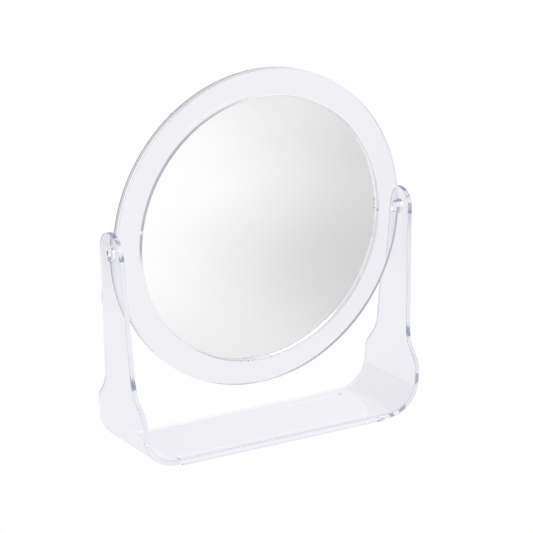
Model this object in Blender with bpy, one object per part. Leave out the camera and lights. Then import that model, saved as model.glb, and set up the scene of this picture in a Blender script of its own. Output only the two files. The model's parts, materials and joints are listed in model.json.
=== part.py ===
"""Round swivel mirror for a shop counter, on a clear one-piece stand.

Metres, +Z up. X runs along the swivel axis, the front is -Y, and the origin lies on
the counter under the middle of the base.
"""
import math

import bmesh
import bpy
from mathutils import Matrix, Vector

MM = 0.001

# Mirror head. Radii are about the middle of the glass, depths from the middle of the rim.
OPENING_RADIUS = 75.0 * MM      # pocket for the glass
RING_RADIUS = 89.3 * MM         # outer rim
RIM_DEPTH = 2.5 * MM            # half the rim's thickness
LIP_DEPTH = 4.0 * MM            # to the front face, at the pocket's edge
POCKET_FLOOR = 0.65 * MM        # behind the middle of the rim
GLASS_FACE_DEPTH = 2.05 * MM
GLASS_THICKNESS = 1.8 * MM
PAD_THICKNESS = 0.3 * MM
PAD_RADIUS = 70.0 * MM
RIM_ROUND = 0.5 * MM            # rounded corners of the ring's section
FIT_GAP = 0.3 * MM              # between pieces that touch
TURN_STEPS = 96
ROD_STEPS = 32
ROUND_STEP = math.radians(30)
SMOOTH_BELOW = math.radians(30) # faces that meet at less than this are shaded smooth

# Gate tab: a short flat at the bottom of the pocket's edge.
TAB_ANGLE = math.radians(-89.5)
TAB_WIDTH = 18.0 * MM
TAB_RISE = 0.5 * MM

# Swivel studs on the ring, in holes through the uprights.
STUD_RADIUS = 4.2 * MM
STUD_ROOT = 86.8 * MM
STUD_RECESS = 0.5 * MM          # end of the stud, inside the upright's outer face
HOLE_RADIUS = 4.5 * MM
SWING_GAP = 0.35 * MM           # ring to upright, at the swivel axis
HEAD_TILT = math.radians(2.55)  # top towards the front

# Stand: one sheet, bent up at both ends.
PIVOT_HEIGHT = 116.0 * MM
SHEET = 2.9 * MM
SHEET_EDGE = 0.4 * MM           # chamfer along the sheet's edges
RAIL_HEIGHT = 0.8 * MM
RAIL_WIDTH = 7.0 * MM
RAIL_LENGTH = 130.0 * MM
RAIL_OVERLAP = 0.4 * MM         # how far a rail runs up into the sheet
BASE_DEPTH = 51.6 * MM
BEND_RADIUS = 19.0 * MM         # middle of the sheet
UPRIGHT_LEAN = math.radians(2.45)
BEND_STEP = math.radians(7.3)

# Upright outline, seen from the side.
TOP_RADIUS = 11.3 * MM
TAPER = math.radians(3.05)
WAIST_HEIGHT = 49.8 * MM        # above here the edges are straight
WAIST_RADIUS = 21.0 * MM        # hollow curve from the waist to the shoulder
SHOULDER_RADIUS = 8.0 * MM      # round curve into the full depth of the base
FLARE_ANGLE = math.radians(41.0)
ARC_STEP = math.radians(9.0)

UPRIGHT_X = RING_RADIUS + SWING_GAP + SHEET / 2     # sheet's middle, at the swivel axis
SHEET_MID_Z = RAIL_HEIGHT + SHEET / 2
BEND_TURN = math.pi / 2 - UPRIGHT_LEAN


def clear_scene():
    for item in list(bpy.data.objects):
        bpy.data.objects.remove(item, do_unlink=True)


def material(name, colour, roughness, metallic=0.0, transmission=0.0):
    made = bpy.data.materials.new(name)
    made.use_nodes = True
    shader = made.node_tree.nodes["Principled BSDF"]
    shader.inputs["Base Color"].default_value = (*colour, 1.0)
    shader.inputs["Roughness"].default_value = roughness
    shader.inputs["Metallic"].default_value = metallic
    shader.inputs["Transmission Weight"].default_value = transmission
    made.diffuse_color = (*colour, 1.0)
    return made


def add_object(name, mesh_data, finish=None, parent=None):
    """Make an object from a bmesh, smooth where its faces meet at a low angle."""
    bmesh.ops.recalc_face_normals(mesh_data, faces=mesh_data.faces)
    mesh = bpy.data.meshes.new(name)
    mesh_data.to_mesh(mesh)
    mesh_data.free()
    mesh.shade_smooth()
    mesh.set_sharp_from_angle(angle=SMOOTH_BELOW)
    made = bpy.data.objects.new(name, mesh)
    if finish:
        mesh.materials.append(finish)
    bpy.context.collection.objects.link(made)
    made.parent = parent
    return made


def as_tool(item):
    """Mark an object as a boolean operand, so that it isn't a piece itself."""
    item.hide_render = True
    item.display_type = "WIRE"
    return item


def combine(item, tool, operation):
    modifier = item.modifiers.new(tool.name, "BOOLEAN")
    modifier.operation = operation
    modifier.object = as_tool(tool)


def box(name, low, high, parent=None):
    mesh_data = bmesh.new()
    bmesh.ops.create_cube(mesh_data, size=1.0)
    low = Vector(low)
    high = Vector(high)
    for vertex in mesh_data.verts:
        vertex.co = (low + high) / 2 + (high - low) * vertex.co
    return add_object(name, mesh_data, parent=parent)


def rod_along_x(name, start, end, radius, parent=None):
    mesh_data = bmesh.new()
    bmesh.ops.create_cone(
        mesh_data, cap_ends=True, segments=ROD_STEPS, radius1=radius, radius2=radius,
        depth=abs(end - start),
        matrix=Matrix.Translation(((start + end) / 2, 0, 0)) @ Matrix.Rotation(math.pi / 2, 4, "Y"))
    return add_object(name, mesh_data, parent=parent)


def arc(centre, radius, start, end, step=ARC_STEP):
    """Points on an arc in a plane, both ends included."""
    count = max(2, math.ceil(abs(end - start) / step))
    angles = [start + (end - start) * i / count for i in range(count + 1)]
    return [(centre[0] + radius * math.cos(a), centre[1] + radius * math.sin(a)) for a in angles]


def turned(name, profile, finish, parent):
    """A solid turned about the Y axis from (radius, y) points, with a flat round face at each end."""
    mesh_data = bmesh.new()
    turns = [math.tau * i / TURN_STEPS for i in range(TURN_STEPS)]
    rings = [[mesh_data.verts.new((r * math.cos(a), y, r * math.sin(a))) for a in turns] for r, y in profile]
    for ring, after in zip(rings, rings[1:]):
        for i in range(TURN_STEPS):
            k = (i + 1) % TURN_STEPS
            mesh_data.faces.new((ring[i], ring[k], after[k], after[i]))
    mesh_data.faces.new(rings[0])
    mesh_data.faces.new(rings[-1])
    return add_object(name, mesh_data, finish, parent)


def ring_profile():
    """Section of the ring with its floor, from the pocket's floor over the lip and the rim to the back."""
    lip = arc((OPENING_RADIUS + RIM_ROUND, -LIP_DEPTH + RIM_ROUND), RIM_ROUND,
              math.pi, math.pi * 3 / 2, ROUND_STEP)
    rim = arc((RING_RADIUS - RIM_ROUND, -RIM_DEPTH + RIM_ROUND), RIM_ROUND, -math.pi / 2, 0, ROUND_STEP)
    back = arc((RING_RADIUS - RIM_ROUND, RIM_DEPTH - RIM_ROUND), RIM_ROUND, 0, math.pi / 2, ROUND_STEP)
    return [(OPENING_RADIUS, POCKET_FLOOR)] + lip + rim + back


def make_ring(finish, head):
    ring = turned("mirror_ring", ring_profile(), finish, head)
    stud_end = UPRIGHT_X + SHEET / 2 - STUD_RECESS
    for label, way in (("left", -1), ("right", 1)):
        stud = rod_along_x(label + "_stud", way * STUD_ROOT, way * stud_end, STUD_RADIUS, head)
        combine(ring, stud, "UNION")
    return ring


def add_gate_tab(ring, head):
    """The flat left by the mould's gate, on the edge of the pocket."""
    sag = TAB_WIDTH ** 2 / (8 * OPENING_RADIUS)
    inner = OPENING_RADIUS - sag - TAB_RISE
    tab = box("gate_tab", (-TAB_WIDTH / 2, -LIP_DEPTH + RIM_ROUND, -(OPENING_RADIUS + RIM_ROUND)),
              (TAB_WIDTH / 2, -GLASS_FACE_DEPTH - FIT_GAP, -inner), head)
    tab.data.transform(Matrix.Rotation(-(TAB_ANGLE + math.pi / 2), 4, "Y"))
    combine(ring, tab, "UNION")


def upright_outline():
    """(half depth, height) from the shoulder's foot up to the top, on one side."""
    across, along = math.cos(FLARE_ANGLE), math.sin(FLARE_ANGLE)
    waist = (TOP_RADIUS + (PIVOT_HEIGHT - WAIST_HEIGHT) * math.sin(TAPER)) / math.cos(TAPER)
    hollow_end_y = waist + WAIST_RADIUS * (1 - across)
    hollow_end_z = WAIST_HEIGHT - WAIST_RADIUS * along
    round_start_y = BASE_DEPTH / 2 - SHOULDER_RADIUS * (1 - across)
    round_start_z = hollow_end_z - (round_start_y - hollow_end_y) / math.tan(FLARE_ANGLE)
    foot_z = round_start_z - SHOULDER_RADIUS * along
    shoulder = arc((BASE_DEPTH / 2 - SHOULDER_RADIUS, foot_z), SHOULDER_RADIUS, 0, FLARE_ANGLE)
    hollow = arc((waist + WAIST_RADIUS, WAIST_HEIGHT), WAIST_RADIUS, math.pi + FLARE_ANGLE, math.pi)
    top = arc((0, PIVOT_HEIGHT), TOP_RADIUS, TAPER, math.pi / 2)
    return shoulder + hollow + top


def bend_point(distance, height):
    """Where the flat sheet's point goes when the sheet is bent: along it, and off its middle."""
    way = math.copysign(1, distance)
    flat_end = bend_start()
    run = abs(distance) - flat_end
    if run <= 0:
        return Vector((distance, 0, SHEET_MID_Z + height))
    turn = min(run / BEND_RADIUS, BEND_TURN)
    reach = BEND_RADIUS - height
    x = flat_end + reach * math.sin(turn)
    z = SHEET_MID_Z + BEND_RADIUS - reach * math.cos(turn)
    rise = max(0, run - BEND_RADIUS * BEND_TURN)
    x += rise * math.sin(UPRIGHT_LEAN)
    z += rise * math.cos(UPRIGHT_LEAN)
    return Vector((way * x, 0, z))


def bend_end_height():
    return SHEET_MID_Z + BEND_RADIUS * (1 - math.cos(BEND_TURN))


def bend_start():
    """Half the length of the flat base, so that the uprights stand right at the swivel axis."""
    lean_out = (PIVOT_HEIGHT - bend_end_height()) * math.tan(UPRIGHT_LEAN)
    return UPRIGHT_X - lean_out - BEND_RADIUS * math.sin(BEND_TURN)


def along_sheet(height):
    """Distance along the flat sheet to a height on an upright."""
    rise = (height - bend_end_height()) / math.cos(UPRIGHT_LEAN)
    return bend_start() + BEND_RADIUS * BEND_TURN + rise


def sheet_blank():
    """The stand's sheet before bending: X along it, Y across it, Z through it."""
    quarter = [(along_sheet(z), y) for y, z in upright_outline()]
    right = quarter + [(x, -y) for x, y in reversed(quarter[:-1])]
    left = [(-x, -y) for x, y in right]
    mesh_data = bmesh.new()
    face = mesh_data.faces.new([mesh_data.verts.new((x, y, -SHEET / 2)) for x, y in right + left])
    grown = bmesh.ops.extrude_face_region(mesh_data, geom=[face])["geom"]
    for vertex in grown:
        if isinstance(vertex, bmesh.types.BMVert):
            vertex.co.z += SHEET
    bmesh.ops.recalc_face_normals(mesh_data, faces=mesh_data.faces)
    edges = [e for e in mesh_data.edges if abs(e.verts[0].co.z - e.verts[1].co.z) < SHEET / 2]
    bmesh.ops.bevel(mesh_data, geom=edges, offset=SHEET_EDGE, segments=1, affect="EDGES")
    return mesh_data


def bent_sheet(name, finish):
    mesh_data = sheet_blank()
    steps = math.ceil(BEND_TURN / BEND_STEP)
    for i in range(steps + 1):
        for way in (-1, 1):
            cut = way * (bend_start() + BEND_RADIUS * BEND_TURN * i / steps)
            geom = mesh_data.verts[:] + mesh_data.edges[:] + mesh_data.faces[:]
            bmesh.ops.bisect_plane(mesh_data, geom=geom, plane_co=(cut, 0, 0), plane_no=(1, 0, 0))
    for vertex in mesh_data.verts:
        place = bend_point(vertex.co.x, vertex.co.z)
        vertex.co = Vector((place.x, vertex.co.y, place.z))
    return add_object(name, mesh_data, finish)


def make_stand(finish):
    stand = bent_sheet("stand", finish)
    for label, way in (("front", -1), ("rear", 1)):
        outer = way * (BASE_DEPTH / 2)
        inner = way * (BASE_DEPTH / 2 - RAIL_WIDTH)
        near, far = sorted((outer, inner))
        rail = box(label + "_rail", (-RAIL_LENGTH / 2, near, 0),
                   (RAIL_LENGTH / 2, far, RAIL_HEIGHT + RAIL_OVERLAP))
        combine(stand, rail, "UNION")
    for label, way in (("left", -1), ("right", 1)):
        start, end = way * (UPRIGHT_X - 2 * SHEET), way * (UPRIGHT_X + 2 * SHEET)
        hole = rod_along_x(label + "_hole", start, end, HOLE_RADIUS)
        hole.location.z = PIVOT_HEIGHT
        combine(stand, hole, "DIFFERENCE")
    return stand


def make_head(clear, silver, foam):
    head = bpy.data.objects.new("head_axis", None)
    bpy.context.collection.objects.link(head)
    head.location.z = PIVOT_HEIGHT
    head.rotation_euler.x = HEAD_TILT
    add_gate_tab(make_ring(clear, head), head)
    glass_radius = OPENING_RADIUS - FIT_GAP
    glass_back = GLASS_THICKNESS - GLASS_FACE_DEPTH
    turned("mirror_glass", [(glass_radius, -GLASS_FACE_DEPTH), (glass_radius, glass_back)], silver, head)
    pad_front = glass_back + FIT_GAP
    turned("adhesive_pad", [(PAD_RADIUS, pad_front), (PAD_RADIUS, pad_front + PAD_THICKNESS)], foam, head)


def build():
    clear_scene()
    clear = material("clear_plastic", (0.93, 0.93, 0.96), 0.03, transmission=1.0)
    silver = material("silvered_glass", (0.86, 0.87, 0.89), 0.02, metallic=1.0)
    foam = material("adhesive_foam", (0.78, 0.78, 0.76), 0.9)
    make_stand(clear)
    make_head(clear, silver, foam)


build()
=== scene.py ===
"""Looks of a clear countertop mirror that swivels in a bent plastic stand.

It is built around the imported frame, in metres, +Z up, with the front towards -Y. Clear plastic
shows every facet of its surface, so each CAD solid is replaced by a finer mesh of the same size.
"""
import json
import math

import bmesh
import bpy
from mathutils import Matrix, Vector


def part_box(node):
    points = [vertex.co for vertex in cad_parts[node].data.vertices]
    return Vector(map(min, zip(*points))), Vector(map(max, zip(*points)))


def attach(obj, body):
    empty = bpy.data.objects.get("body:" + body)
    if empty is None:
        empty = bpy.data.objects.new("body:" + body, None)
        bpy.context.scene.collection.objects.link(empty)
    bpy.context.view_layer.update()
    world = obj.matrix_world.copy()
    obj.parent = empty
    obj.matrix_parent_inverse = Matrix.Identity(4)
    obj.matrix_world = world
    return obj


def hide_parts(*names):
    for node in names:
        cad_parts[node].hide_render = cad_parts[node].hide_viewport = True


MM = 0.001

# Mirror head. Radii are about the middle of the glass, depths from the middle of the rim.
OPENING_RADIUS = 75.0 * MM
RING_RADIUS = 89.3 * MM
RIM_DEPTH = 2.5 * MM
LIP_DEPTH = 4.0 * MM
POCKET_FLOOR = 0.65 * MM
GLASS_FACE_DEPTH = 2.05 * MM
GLASS_THICKNESS = 1.8 * MM
GLASS_ARRIS = 0.05 * MM         # taken off both edges of the glass
SILVER_THICKNESS = 0.05 * MM    # silver and paint, on the back of the glass
PAD_THICKNESS = 0.3 * MM
PAD_RADIUS = 70.0 * MM
THIN_ARRIS = 1 / 8              # share of a thin plate's thickness taken off its edges
RIM_ROUND = 0.5 * MM
FIT_GAP = 0.3 * MM
HEAD_TILT = math.radians(2.55)

# Gate tab at the bottom of the pocket's edge.
TAB_ANGLE = math.radians(-89.5)
TAB_WIDTH = 18.0 * MM
TAB_RISE = 0.5 * MM

# Swivel studs and their holes.
STUD_RADIUS = 4.2 * MM
STUD_ROOT = 86.8 * MM
STUD_RECESS = 0.5 * MM
HOLE_RADIUS = 4.5 * MM
SWING_GAP = 0.35 * MM

# Stand: one sheet, bent up at both ends.
SHEET = 2.9 * MM
SHEET_EDGE = 0.4 * MM
RAIL_HEIGHT = 0.8 * MM
RAIL_WIDTH = 7.0 * MM
RAIL_LENGTH = 130.0 * MM
RAIL_OVERLAP = 0.4 * MM
BEND_RADIUS = 19.0 * MM
UPRIGHT_LEAN = math.radians(2.45)
TOP_RADIUS = 11.3 * MM
TAPER = math.radians(3.05)
WAIST_HEIGHT = 49.8 * MM
WAIST_RADIUS = 21.0 * MM
SHOULDER_RADIUS = 8.0 * MM
FLARE_ANGLE = math.radians(41.0)

# Fineness of the meshes.
TURN_STEPS = 360
ROD_STEPS = 144
ROUND_STEP = math.radians(15)
ARC_STEP = math.radians(2)
BEND_STEP = math.radians(1)
EDGE_STEPS = 4
SMOOTH_BELOW = math.radians(30)
FLAT_FACE_WEIGHT = 100

# Finishes. An onset is the pair of noise values between which a mark sets in.
PLASTIC_IOR = 1.53
PLASTIC_TINT = (0.992, 0.992, 1.0, 1)
HAZE_TINT = (0.982, 0.984, 0.998, 1)
HAZE_SIZE = 30.0 * MM
HAZE_ONSET = (0.35, 0.75)
STREAK_SIZE = 1.6 * MM
STREAK_STRETCH = (1, 1, 0.06)   # streaks run up and down
STREAK_ONSET = (0.62, 0.80)
STREAK_ROUGHNESS = 0.010
WAVE_SIZE = 22.0 * MM
WAVE_RISE = 0.04 * MM
GLASS_IOR = 1.52
GLASS_TINT = (0.99, 1.0, 0.995, 1)
SMEAR_TINT = (0.985, 0.997, 0.991, 1)
SMEAR_SIZE = 12.0 * MM
SMEAR_STRETCH = (1, 1, 0.3)
SMEAR_ONSET = (0.60, 0.80)
SMEAR_ROUGHNESS = 0.004
SILVER_COLOUR = (0.925, 0.914, 0.895, 1)
DULL_SILVER_COLOUR = (0.87, 0.86, 0.84, 1)
SILVER_CREEP = 1.2 * MM         # width of the dulled edge of the silver
DULL_SIZE = 20.0 * MM
DULL_ONSET = (0.55, 0.85)
DULL_ROUGHNESS = 0.01
# painted shade: the foam's darker tone where the bump of its cells is low, in their hollows
FOAM_PAINTED_SHADE_TINT = (0.74, 0.74, 0.72, 1)
FOAM_TINT = (0.84, 0.84, 0.82, 1)
CELL_SIZE = 0.7 * MM
CELL_ONSET = (0.3, 0.7)
CELL_ROUGHNESS = (0.80, 0.95)
CELL_RISE = 0.1 * MM
CELL_STRENGTH = 0.6

# Toner in the clear plastic. Density times (1 - colour) is its absorption, per metre.
TONER_COLOUR = (0.22, 0.28, 0.66, 1)
TONER_DENSITY = 1.9

# Colour sockets of a Mix node, whose names are shared with its sockets for numbers and vectors.
MIX_FIRST = 6
MIX_SECOND = 7
MIX_RESULT = 2

LIGHT_BOUNCES = 256             # a ray caught in clear plastic turns many times before it leaves

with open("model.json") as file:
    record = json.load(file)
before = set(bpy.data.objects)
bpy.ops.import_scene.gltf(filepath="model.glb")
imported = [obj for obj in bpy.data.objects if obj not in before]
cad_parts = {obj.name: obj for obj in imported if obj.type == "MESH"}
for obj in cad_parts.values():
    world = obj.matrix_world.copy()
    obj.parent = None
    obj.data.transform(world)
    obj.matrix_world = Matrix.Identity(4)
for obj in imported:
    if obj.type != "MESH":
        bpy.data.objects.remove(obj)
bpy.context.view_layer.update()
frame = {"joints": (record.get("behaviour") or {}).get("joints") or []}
scene = bpy.context.scene
PIVOT = Vector(frame["joints"][0]["pos_m"])
BASE_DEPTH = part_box("stand")[1].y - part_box("stand")[0].y
GLASS_RADIUS = OPENING_RADIUS - FIT_GAP
UPRIGHT_X = RING_RADIUS + SWING_GAP + SHEET / 2
SHEET_MID_Z = RAIL_HEIGHT + SHEET / 2
BEND_TURN = math.pi / 2 - UPRIGHT_LEAN
BEND_END_HEIGHT = SHEET_MID_Z + BEND_RADIUS * (1 - math.cos(BEND_TURN))
FLAT_HALF = (UPRIGHT_X - (PIVOT.z - BEND_END_HEIGHT) * math.tan(UPRIGHT_LEAN)
             - BEND_RADIUS * math.sin(BEND_TURN))
HEAD_FRAME = Matrix.Translation(PIVOT) @ Matrix.Rotation(HEAD_TILT, 4, "X")


# ---------------------------------------------------------------- meshes

def add_object(name, mesh_data, finish=None):
    """Make an object from a bmesh, smooth where its faces meet at a low angle."""
    bmesh.ops.recalc_face_normals(mesh_data, faces=mesh_data.faces)
    mesh = bpy.data.meshes.new(name)
    mesh_data.to_mesh(mesh)
    mesh_data.free()
    mesh.shade_smooth()
    mesh.set_sharp_from_angle(angle=SMOOTH_BELOW)
    if finish:
        mesh.materials.append(finish)
    made = bpy.data.objects.new(name, mesh)
    scene.collection.objects.link(made)
    return made


def combine(item, tool, operation):
    """Apply a Boolean with a tool object, then remove the tool."""
    modifier = item.modifiers.new(tool.name, "BOOLEAN")
    modifier.operation = operation
    modifier.object = tool
    bpy.context.view_layer.update()
    evaluated = item.evaluated_get(bpy.context.evaluated_depsgraph_get())
    result = bpy.data.meshes.new_from_object(evaluated)
    item.modifiers.clear()
    item.data = result
    bpy.data.objects.remove(tool)
    result.shade_smooth()
    result.set_sharp_from_angle(angle=SMOOTH_BELOW)


def weigh_normals(item):
    """Let wide flat faces set the shading at their borders, so that they refract as flat."""
    modifier = item.modifiers.new("weighted_normals", "WEIGHTED_NORMAL")
    modifier.weight = FLAT_FACE_WEIGHT
    modifier.keep_sharp = True


def box(name, low, high):
    """A box between its lowest and highest corners."""
    mesh_data = bmesh.new()
    bmesh.ops.create_cube(mesh_data, size=1.0)
    low = Vector(low)
    high = Vector(high)
    for vertex in mesh_data.verts:
        vertex.co = (low + high) / 2 + (high - low) * vertex.co
    return add_object(name, mesh_data)


def rod_along_x(name, start, end, radius, height=0.0):
    """A round rod between two places on the X axis, or on a line above it."""
    mesh_data = bmesh.new()
    middle = Matrix.Translation(((start + end) / 2, 0, height))
    bmesh.ops.create_cone(
        mesh_data, cap_ends=True, segments=ROD_STEPS, radius1=radius, radius2=radius,
        depth=abs(end - start), matrix=middle @ Matrix.Rotation(math.pi / 2, 4, "Y"))
    return add_object(name, mesh_data)


def arc(centre, radius, start, end, step=ARC_STEP):
    """Points on an arc in a plane, both ends included."""
    count = max(2, math.ceil(abs(end - start) / step))
    angles = [start + (end - start) * i / count for i in range(count + 1)]
    return [(centre[0] + radius * math.cos(a), centre[1] + radius * math.sin(a)) for a in angles]


def turned(name, profile, finish):
    """A solid turned about the Y axis from (radius, y) points, with a flat round face at each end."""
    mesh_data = bmesh.new()
    turns = [math.tau * i / TURN_STEPS for i in range(TURN_STEPS)]
    rings = [[mesh_data.verts.new((r * math.cos(a), y, r * math.sin(a))) for a in turns]
             for r, y in profile]
    for ring, after in zip(rings, rings[1:]):
        for i in range(TURN_STEPS):
            k = (i + 1) % TURN_STEPS
            mesh_data.faces.new((ring[i], ring[k], after[k], after[i]))
    mesh_data.faces.new(rings[0])
    mesh_data.faces.new(rings[-1])
    return add_object(name, mesh_data, finish)


def plate(name, radius, near, far, arris, finish):
    """A round plate about the Y axis, with a small flat on both edges."""
    profile = [(radius - arris, near), (radius, near + arris), (radius, far - arris), (radius - arris, far)]
    return turned(name, profile, finish)


# ---------------------------------------------------------------- mirror head

def ring_profile():
    """Section of the ring, from the pocket's floor over the lip and the rim to the back."""
    lip = arc((OPENING_RADIUS + RIM_ROUND, -LIP_DEPTH + RIM_ROUND), RIM_ROUND,
              math.pi, math.pi * 3 / 2, ROUND_STEP)
    rim = arc((RING_RADIUS - RIM_ROUND, -RIM_DEPTH + RIM_ROUND), RIM_ROUND,
              -math.pi / 2, 0, ROUND_STEP)
    back = arc((RING_RADIUS - RIM_ROUND, RIM_DEPTH - RIM_ROUND), RIM_ROUND,
               0, math.pi / 2, ROUND_STEP)
    return [(OPENING_RADIUS, POCKET_FLOOR)] + lip + rim + back


def make_ring(clear):
    """The ring with a swivel stud at each side."""
    ring = turned("ring", ring_profile(), clear)
    stud_end = UPRIGHT_X + SHEET / 2 - STUD_RECESS
    for label, way in (("left", -1), ("right", 1)):
        stud = rod_along_x(label + "_stud", way * STUD_ROOT, way * stud_end, STUD_RADIUS)
        combine(ring, stud, "UNION")
    return ring


def add_gate_tab(ring):
    """The flat left by the mould's gate, on the edge of the pocket."""
    sag = TAB_WIDTH ** 2 / (8 * OPENING_RADIUS)
    inner = OPENING_RADIUS - sag - TAB_RISE
    tab = box("gate_tab", (-TAB_WIDTH / 2, -LIP_DEPTH + RIM_ROUND, -(OPENING_RADIUS + RIM_ROUND)),
              (TAB_WIDTH / 2, -GLASS_FACE_DEPTH - FIT_GAP, -inner))
    tab.data.transform(Matrix.Rotation(-(TAB_ANGLE + math.pi / 2), 4, "Y"))
    combine(ring, tab, "UNION")


def join_head(piece, node):
    """Put a piece modelled about the head's own centre in its place on the head."""
    piece.data.transform(HEAD_FRAME)
    weigh_normals(piece)
    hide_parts(node)
    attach(piece, "mirror_head")


def make_glass(glass, silver):
    """Float glass standing clear of its pocket's wall, with a thin coat of silver on its back."""
    back = GLASS_THICKNESS - GLASS_FACE_DEPTH
    coat_front = back - SILVER_THICKNESS
    pane_back = coat_front + SILVER_THICKNESS / 2       # inside the coat, so that no gap is left
    pane = plate("pane", GLASS_RADIUS, -GLASS_FACE_DEPTH, pane_back, GLASS_ARRIS, glass)
    coat = plate("silvering", GLASS_RADIUS - GLASS_ARRIS, coat_front, back,
                 SILVER_THICKNESS * THIN_ARRIS, silver)
    for piece in (pane, coat):
        join_head(piece, "mirror_glass")


def make_pad(foam):
    front = GLASS_THICKNESS - GLASS_FACE_DEPTH + FIT_GAP
    pad = plate("foam_pad", PAD_RADIUS, front, front + PAD_THICKNESS, PAD_THICKNESS * THIN_ARRIS, foam)
    join_head(pad, "adhesive_pad")


def make_head(clear, glass, silver, foam):
    ring = make_ring(clear)
    add_gate_tab(ring)
    join_head(ring, "mirror_ring")
    make_glass(glass, silver)
    make_pad(foam)


# ---------------------------------------------------------------- stand

def upright_outline():
    """(half depth, height) from the shoulder's foot up to the top, on one side."""
    across, along = math.cos(FLARE_ANGLE), math.sin(FLARE_ANGLE)
    waist = (TOP_RADIUS + (PIVOT.z - WAIST_HEIGHT) * math.sin(TAPER)) / math.cos(TAPER)
    hollow_end_y = waist + WAIST_RADIUS * (1 - across)
    hollow_end_z = WAIST_HEIGHT - WAIST_RADIUS * along
    round_start_y = BASE_DEPTH / 2 - SHOULDER_RADIUS * (1 - across)
    round_start_z = hollow_end_z - (round_start_y - hollow_end_y) / math.tan(FLARE_ANGLE)
    foot_z = round_start_z - SHOULDER_RADIUS * along
    shoulder = arc((BASE_DEPTH / 2 - SHOULDER_RADIUS, foot_z), SHOULDER_RADIUS, 0, FLARE_ANGLE)
    hollow = arc((waist + WAIST_RADIUS, WAIST_HEIGHT), WAIST_RADIUS, math.pi + FLARE_ANGLE, math.pi)
    top = arc((0, PIVOT.z), TOP_RADIUS, TAPER, math.pi / 2)
    return shoulder + hollow + top


def bend_point(distance, height):
    """Where the flat sheet's point goes when the sheet is bent: along it, and off its middle."""
    way = math.copysign(1, distance)
    run = abs(distance) - FLAT_HALF
    if run <= 0:
        return Vector((distance, 0, SHEET_MID_Z + height))
    turn = min(run / BEND_RADIUS, BEND_TURN)
    reach = BEND_RADIUS - height
    x = FLAT_HALF + reach * math.sin(turn)
    z = SHEET_MID_Z + BEND_RADIUS - reach * math.cos(turn)
    rise = max(0, run - BEND_RADIUS * BEND_TURN)
    x += rise * math.sin(UPRIGHT_LEAN)
    z += rise * math.cos(UPRIGHT_LEAN)
    return Vector((way * x, 0, z))


def along_sheet(height):
    """Distance along the flat sheet to a height on an upright."""
    return FLAT_HALF + BEND_RADIUS * BEND_TURN + (height - BEND_END_HEIGHT) / math.cos(UPRIGHT_LEAN)


def sheet_blank():
    """The stand's sheet before bending: X along it, Y across it, Z through it."""
    quarter = [(along_sheet(z), y) for y, z in upright_outline()]
    right = quarter + [(x, -y) for x, y in reversed(quarter[:-1])]
    left = [(-x, -y) for x, y in right]
    mesh_data = bmesh.new()
    face = mesh_data.faces.new([mesh_data.verts.new((x, y, -SHEET / 2)) for x, y in right + left])
    grown = bmesh.ops.extrude_face_region(mesh_data, geom=[face])["geom"]
    for vertex in grown:
        if isinstance(vertex, bmesh.types.BMVert):
            vertex.co.z += SHEET
    bmesh.ops.recalc_face_normals(mesh_data, faces=mesh_data.faces)
    edges = [e for e in mesh_data.edges if abs(e.verts[0].co.z - e.verts[1].co.z) < SHEET / 2]
    bmesh.ops.bevel(mesh_data, geom=edges, offset=SHEET_EDGE, segments=EDGE_STEPS, profile=0.5,
                    affect="EDGES")
    return mesh_data


def bent_sheet(name, finish):
    """The blank cut across into narrow strips where it bends, and then bent."""
    mesh_data = sheet_blank()
    steps = math.ceil(BEND_TURN / BEND_STEP)
    for i in range(steps + 1):
        for way in (-1, 1):
            cut = way * (FLAT_HALF + BEND_RADIUS * BEND_TURN * i / steps)
            geom = mesh_data.verts[:] + mesh_data.edges[:] + mesh_data.faces[:]
            bmesh.ops.bisect_plane(mesh_data, geom=geom, plane_co=(cut, 0, 0), plane_no=(1, 0, 0))
    for vertex in mesh_data.verts:
        place = bend_point(vertex.co.x, vertex.co.z)
        vertex.co = Vector((place.x, vertex.co.y, place.z))
    return add_object(name, mesh_data, finish)


def make_stand(clear):
    stand = bent_sheet("stand_sheet", clear)
    for label, way in (("front", -1), ("rear", 1)):
        near, far = sorted((way * BASE_DEPTH / 2, way * (BASE_DEPTH / 2 - RAIL_WIDTH)))
        rail = box(label + "_rail", (-RAIL_LENGTH / 2, near, 0),
                   (RAIL_LENGTH / 2, far, RAIL_HEIGHT + RAIL_OVERLAP))
        combine(stand, rail, "UNION")
    for label, way in (("left", -1), ("right", 1)):
        start, end = way * (UPRIGHT_X - 2 * SHEET), way * (UPRIGHT_X + 2 * SHEET)
        hole = rod_along_x(label + "_hole", start, end, HOLE_RADIUS, PIVOT.z)
        combine(stand, hole, "DIFFERENCE")
    weigh_normals(stand)
    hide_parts("stand")
    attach(stand, "stand")


# ---------------------------------------------------------------- finishes

def node_tree_of(owner):
    owner.use_nodes = True
    owner.node_tree.nodes.clear()
    return owner.node_tree


def principled(name, **values):
    """A material with one Principled shader, its sockets set from the given values."""
    made = bpy.data.materials.new(name)
    tree = node_tree_of(made)
    shader = tree.nodes.new("ShaderNodeBsdfPrincipled")
    for socket, value in values.items():
        shader.inputs[socket.replace("_", " ")].default_value = value
    out = tree.nodes.new("ShaderNodeOutputMaterial")
    tree.links.new(shader.outputs["BSDF"], out.inputs["Surface"])
    return made


def shader_of(material):
    return material.node_tree.nodes["Principled BSDF"]


def object_place(tree, stretch=(1, 1, 1)):
    """The place on the object in metres, with its axes scaled to stretch a pattern."""
    mapping = tree.nodes.new("ShaderNodeMapping")
    mapping.inputs["Scale"].default_value = stretch
    tree.links.new(tree.nodes.new("ShaderNodeTexCoord").outputs["Object"], mapping.inputs["Vector"])
    return mapping.outputs["Vector"]


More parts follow.
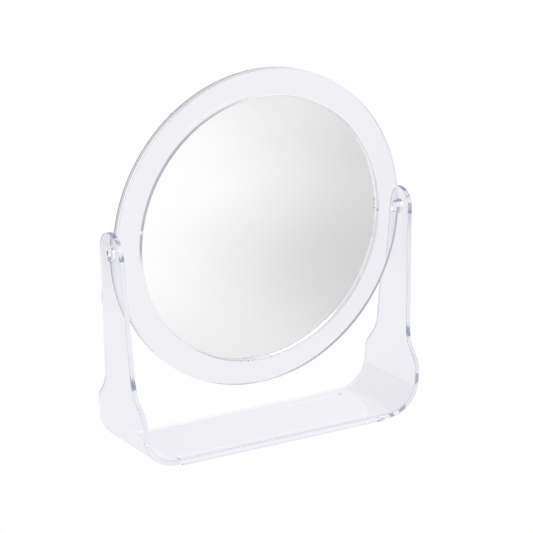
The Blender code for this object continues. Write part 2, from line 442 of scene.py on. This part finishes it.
def noise(tree, size, detail=3.0, stretch=(1, 1, 1)):
    """Noise whose blotches are about the given size in metres."""
    made = tree.nodes.new("ShaderNodeTexNoise")
    made.inputs["Scale"].default_value = 1 / size
    made.inputs["Detail"].default_value = detail
    tree.links.new(object_place(tree, stretch), made.inputs["Vector"])
    return made.outputs["Fac"]


def distance_from(tree, place, centre):
    """How far a place is from a point."""
    made = tree.nodes.new("ShaderNodeVectorMath")
    made.operation = "DISTANCE"
    made.inputs[1].default_value = centre
    tree.links.new(place, made.inputs[0])
    return made.outputs["Value"]


def remap(tree, value, source, target=(0.0, 1.0)):
    """A value taken smoothly from one range to another, and held at its ends."""
    made = tree.nodes.new("ShaderNodeMapRange")
    made.interpolation_type = "SMOOTHSTEP"
    for side, (low, high) in (("From", source), ("To", target)):
        made.inputs[side + " Min"].default_value = low
        made.inputs[side + " Max"].default_value = high
    tree.links.new(value, made.inputs["Value"])
    return made.outputs["Result"]


def tint(tree, value, first, second):
    """A colour between two, by a value from 0 to 1. The first may come from another node."""
    made = tree.nodes.new("ShaderNodeMix")
    made.data_type = "RGBA"
    tree.links.new(value, made.inputs["Factor"])
    if isinstance(first, bpy.types.NodeSocket):
        tree.links.new(first, made.inputs[MIX_FIRST])
    else:
        made.inputs[MIX_FIRST].default_value = first
    made.inputs[MIX_SECOND].default_value = second
    return made.outputs[MIX_RESULT]


def bump(tree, height, rise, strength=1.0):
    """A normal from a height of 0 to 1 that stands for a rise in metres."""
    made = tree.nodes.new("ShaderNodeBump")
    made.inputs["Distance"].default_value = rise
    made.inputs["Strength"].default_value = strength
    tree.links.new(height, made.inputs["Height"])
    return made.outputs["Normal"]


def add_absorption(tree):
    """The blue toner in the plastic, seen only where light has come a long way through it."""
    toner = tree.nodes.new("ShaderNodeVolumeAbsorption")
    toner.inputs["Color"].default_value = TONER_COLOUR
    toner.inputs["Density"].default_value = TONER_DENSITY
    out = tree.nodes["Material Output"]
    tree.links.new(toner.outputs["Volume"], out.inputs["Volume"])


def clear_plastic():
    """Moulded polystyrene: slow waves in its faces, and fine rubbed streaks from handling."""
    made = principled("clear_plastic", IOR=PLASTIC_IOR, Transmission_Weight=1.0)
    tree, shader = made.node_tree, shader_of(made)
    haze = remap(tree, noise(tree, HAZE_SIZE), HAZE_ONSET)
    streaks = noise(tree, STREAK_SIZE, detail=2.0, stretch=STREAK_STRETCH)
    waves = noise(tree, WAVE_SIZE, detail=1.0)
    tree.links.new(tint(tree, haze, PLASTIC_TINT, HAZE_TINT), shader.inputs["Base Color"])
    tree.links.new(remap(tree, streaks, STREAK_ONSET, (0.0, STREAK_ROUGHNESS)), shader.inputs["Roughness"])
    tree.links.new(bump(tree, waves, WAVE_RISE), shader.inputs["Normal"])
    add_absorption(tree)
    return made


def float_glass():
    """Flat glass with a few faint wiped smears on it."""
    made = principled("float_glass", IOR=GLASS_IOR, Transmission_Weight=1.0)
    tree, shader = made.node_tree, shader_of(made)
    smears = noise(tree, SMEAR_SIZE, detail=4.0, stretch=SMEAR_STRETCH)
    tree.links.new(tint(tree, smears, GLASS_TINT, SMEAR_TINT), shader.inputs["Base Color"])
    tree.links.new(remap(tree, smears, SMEAR_ONSET, (0.0, SMEAR_ROUGHNESS)), shader.inputs["Roughness"])
    return made


def silvering():
    """Silver with a few faintly dull patches, and a slight dull creep in from its edge."""
    made = principled("silvering", Metallic=1.0)
    tree, shader = made.node_tree, shader_of(made)
    from_middle = distance_from(tree, object_place(tree), PIVOT)
    creep = remap(tree, from_middle, (GLASS_RADIUS - SILVER_CREEP, GLASS_RADIUS))
    patches = noise(tree, DULL_SIZE)
    tree.links.new(tint(tree, creep, SILVER_COLOUR, DULL_SILVER_COLOUR), shader.inputs["Base Color"])
    tree.links.new(remap(tree, patches, DULL_ONSET, (0.0, DULL_ROUGHNESS)), shader.inputs["Roughness"])
    return made


def adhesive_foam():
    """Off-white foam with a fine grain of cells, and painted shade in the hollows of the cells."""
    made = principled("adhesive_foam")
    tree, shader = made.node_tree, shader_of(made)
    cells = noise(tree, CELL_SIZE, detail=2.0)
    # painted shade: the colour darkens where the cells' bump is low, in their hollows
    tree.links.new(tint(tree, cells, FOAM_PAINTED_SHADE_TINT, FOAM_TINT), shader.inputs["Base Color"])
    tree.links.new(remap(tree, cells, CELL_ONSET, CELL_ROUGHNESS), shader.inputs["Roughness"])
    tree.links.new(bump(tree, cells, CELL_RISE, CELL_STRENGTH), shader.inputs["Normal"])
    return made


# ---------------------------------------------------------------- studio

def direction(azimuth, elevation):
    """Unit vector to a place in the room, in degrees: 0 is to the right, 90 behind, -90 in front."""
    turn, rise = math.radians(azimuth), math.radians(elevation)
    return Vector((math.cos(turn) * math.cos(rise), math.sin(turn) * math.cos(rise), math.sin(rise)))


def cool(level):
    """A pale studio grey, a little blue."""
    return (level, level, level + BLUE_LIFT, 1)


BLUE_LIFT = 0.028
DUSK = (0.42, 0.425, 0.46, 1)
DIM = (0.46, 0.465, 0.50, 1)
WHITE = (1, 1, 1, 1)
WALL_TONE = cool(0.96)
FLOOR_TONE = cool(0.885)
FLOOR_HALF = 0.8
FLOOR_DROP = 0.2 * MM           # keeps the paper clear of the rails that stand on it

# Soft-edged spots, laid on in this order: middle, inner radius, outer radius, tone.
# A room spot's radii are chords of the unit sphere, and a floor spot's are in metres.
ROOM_SPOTS = [
    (direction(0, 90), 0.55, 1.05, cool(0.35)),         # ceiling
    (direction(-5, 50), 0.20, 0.50, cool(0.40)),        # high on the right
    (direction(-75, 38), 0.25, 0.55, cool(2.00)),       # large soft light
    (direction(-90, 2), 0.12, 0.35, cool(0.35)),        # low in front
    (direction(122, 2), 0.28, 0.66, DIM),               # behind, to the left
    (direction(88, 26), 0.15, 0.55, DIM),               # above the far end of the paper
    (direction(146, 46), 0.20, 0.50, DIM),              # high behind, to the left
    (direction(107, 31), 0.15, 0.40, DUSK),             # behind, where the ring's edges reflect
]
FLOOR_SPOTS = [
    # painted shade on the near edge of the paper
    ((-0.20, -1.00, 0.0), 0.20, 0.50, cool(0.50)),      # near edge of the paper
    ((0.10, -0.38, 0.0), 0.14, 0.36, cool(1.08)),       # pool of the large light
    ((0.42, -0.33, 0.0), 0.05, 0.26, cool(0.72)),       # shade in front, to the right
    ((0.30, -0.125, 0.0), 0.11, 0.28, cool(0.71)),      # shade to the right
    ((-0.27, 0.56, 0.0), 0.20, 0.38, DUSK),             # shade behind, to the left
]

CAMERA_AZIMUTH = math.radians(-31.13)
CAMERA_ELEVATION = math.radians(16.42)
CAMERA_ROLL = math.radians(-0.44)
CAMERA_DISTANCE = 1.26
CAMERA_TARGET = Vector((0.0037, 0.0, 0.0938))
CAMERA_LENS = 155.3             # millimetres, on the sensor below
CAMERA_SENSOR = 36.0


def add_camera():
    """The photo's camera, on a line through its target."""
    turn = (Matrix.Rotation(CAMERA_AZIMUTH, 4, "Z")
            @ Matrix.Rotation(math.pi / 2 - CAMERA_ELEVATION, 4, "X")
            @ Matrix.Rotation(CAMERA_ROLL, 4, "Z"))
    data = bpy.data.cameras.new("camera")
    data.sensor_width = CAMERA_SENSOR
    data.lens = CAMERA_LENS
    camera = bpy.data.objects.new("camera", data)
    place = CAMERA_TARGET + CAMERA_DISTANCE * turn.col[2].to_3d()
    camera.matrix_world = Matrix.Translation(place) @ turn
    scene.collection.objects.link(camera)
    scene.camera = camera


def white_to_camera(tree, shader_type, tone):
    """A light, white where the camera sees it directly, that has its tone to every other ray."""
    seen = tree.nodes.new(shader_type)
    seen.inputs["Color"].default_value = WHITE
    others = tree.nodes.new(shader_type)
    tree.links.new(tone, others.inputs["Color"])
    path = tree.nodes.new("ShaderNodeLightPath")
    mix = tree.nodes.new("ShaderNodeMixShader")
    for index, output in enumerate((path.outputs["Is Camera Ray"], others.outputs[0], seen.outputs[0])):
        tree.links.new(output, mix.inputs[index])
    return mix.outputs[0]


def soft_spots(tree, place, ground_tone, spots):
    """A tone with round soft-edged spots laid over it."""
    tone = ground_tone
    for centre, inner, outer, spot_tone in spots:
        cover = remap(tree, distance_from(tree, place, centre), (inner, outer), (1.0, 0.0))
        tone = tint(tree, cover, tone, spot_tone)
    return tone


def add_world():
    """A pale room with a dim ceiling, a large soft light in front and dim stretches round it."""
    made = bpy.data.worlds.new("studio")
    scene.world = made
    tree = node_tree_of(made)
    out = tree.nodes.new("ShaderNodeOutputWorld")
    place = tree.nodes.new("ShaderNodeTexCoord").outputs["Generated"]
    tone = soft_spots(tree, place, WALL_TONE, ROOM_SPOTS)
    tree.links.new(white_to_camera(tree, "ShaderNodeBackground", tone), out.inputs["Surface"])


def add_floor():
    """Pale paper under the object, with soft light and shade on it."""
    mesh_data = bmesh.new()
    bmesh.ops.create_grid(mesh_data, x_segments=1, y_segments=1, size=FLOOR_HALF)
    made = add_object("floor", mesh_data)
    made.location.z = -FLOOR_DROP
    paper = bpy.data.materials.new("paper")
    tree = node_tree_of(paper)
    out = tree.nodes.new("ShaderNodeOutputMaterial")
    place = tree.nodes.new("ShaderNodeTexCoord").outputs["Object"]
    tone = soft_spots(tree, place, FLOOR_TONE, FLOOR_SPOTS)
    tree.links.new(white_to_camera(tree, "ShaderNodeEmission", tone), out.inputs["Surface"])
    made.data.materials.append(paper)


add_camera()
add_world()
add_floor()
plastic = clear_plastic()
make_stand(plastic)
make_head(plastic, float_glass(), silvering(), adhesive_foam())
scene.view_settings.view_transform = "Standard"
scene.cycles.max_bounces = LIGHT_BOUNCES
scene.cycles.transmission_bounces = LIGHT_BOUNCES
scene.cycles.glossy_bounces = LIGHT_BOUNCES
scene.cycles.blur_glossy = 0.0
scene.cycles.use_denoising = True
